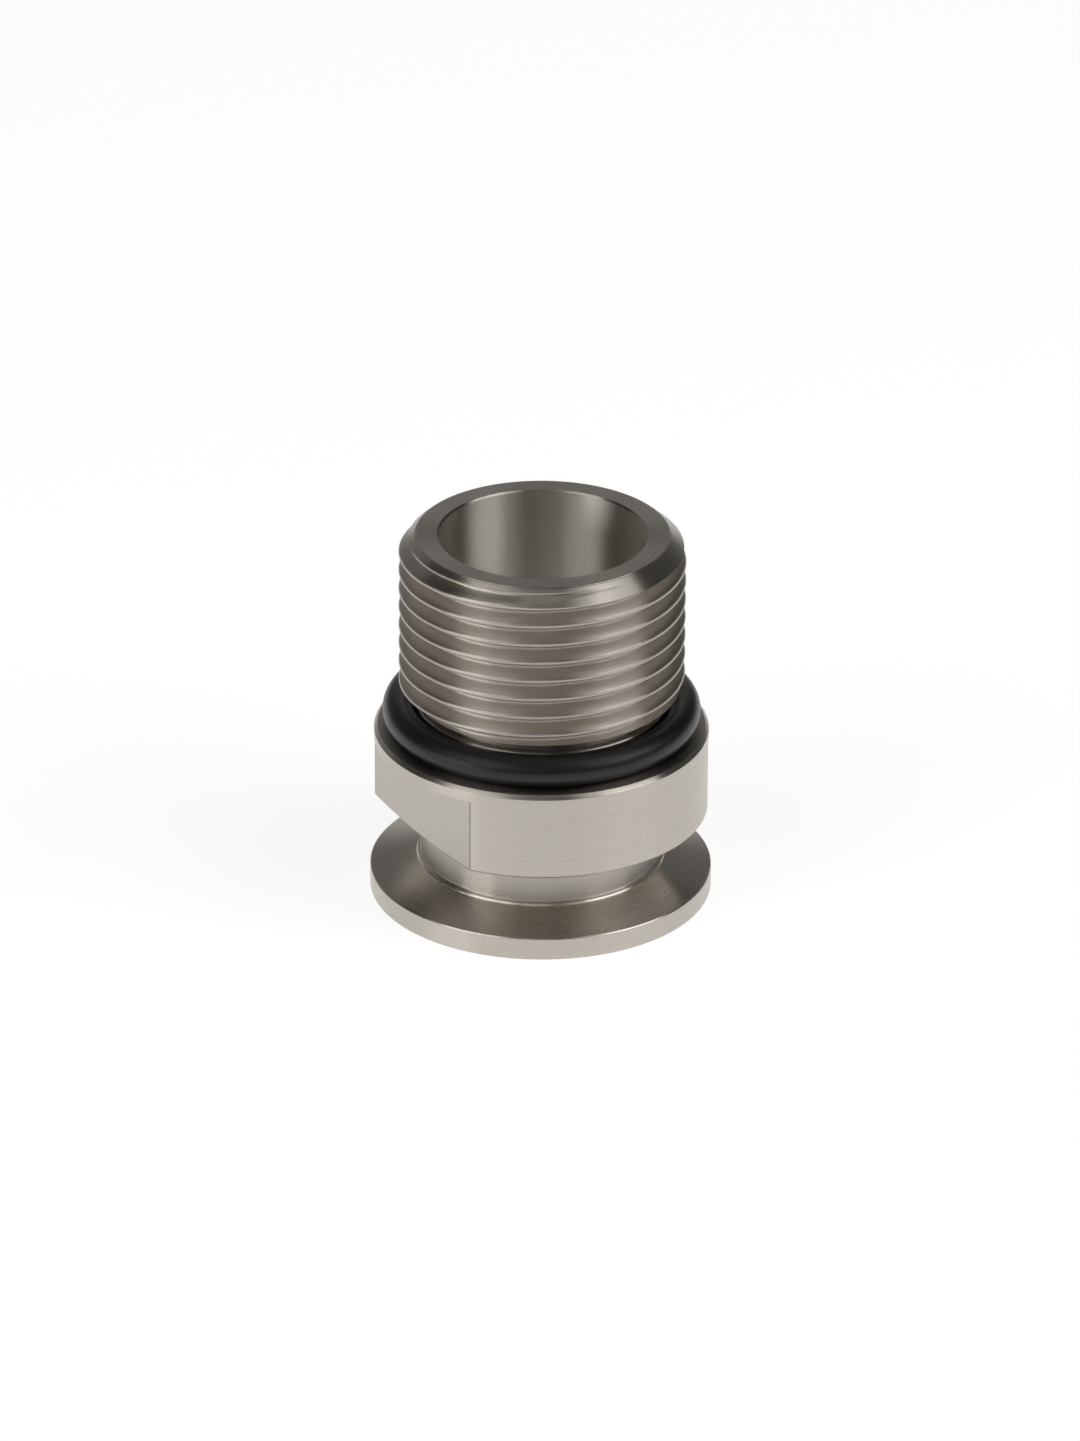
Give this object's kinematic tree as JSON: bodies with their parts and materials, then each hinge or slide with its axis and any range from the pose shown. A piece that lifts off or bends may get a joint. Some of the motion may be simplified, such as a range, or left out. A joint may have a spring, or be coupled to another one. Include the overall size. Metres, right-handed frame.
{
  "type": "sight glass",
  "caption": "Screw-in sight glass: vacuum clamp flange, round collar with two wrench flats, face O-ring, male pipe thread and an internal window held by a threaded ring.",
  "frame": {"origin": "centre of the clamp flange's sealing face", "axes": "+Z along the fitting's axis from the flange to the nose of the thread, +X and -X out of the two wrench flats"},
  "size_m": [0.04, 0.04, 0.045],
  "materials": {
    "body_steel": "satin turned stainless steel",
    "face_seal_rubber": "satin black moulded rubber",
    "window_seal_rubber": "satin black moulded rubber",
    "window_glass": "polished borosilicate glass",
    "gasket_plastic": "matt white PTFE",
    "washer_steel": "bright stainless steel",
    "ring_steel": "satin turned stainless steel"
  },
  "bodies": {
    "root": {"fitting_body": "body_steel", "thread_o_ring": "face_seal_rubber", "window_o_ring": "window_seal_rubber", "glass_disc": "window_glass", "cushion_gasket": "gasket_plastic", "slip_washer": "washer_steel", "retaining_ring": "ring_steel"}
  },
  "joints": []
}
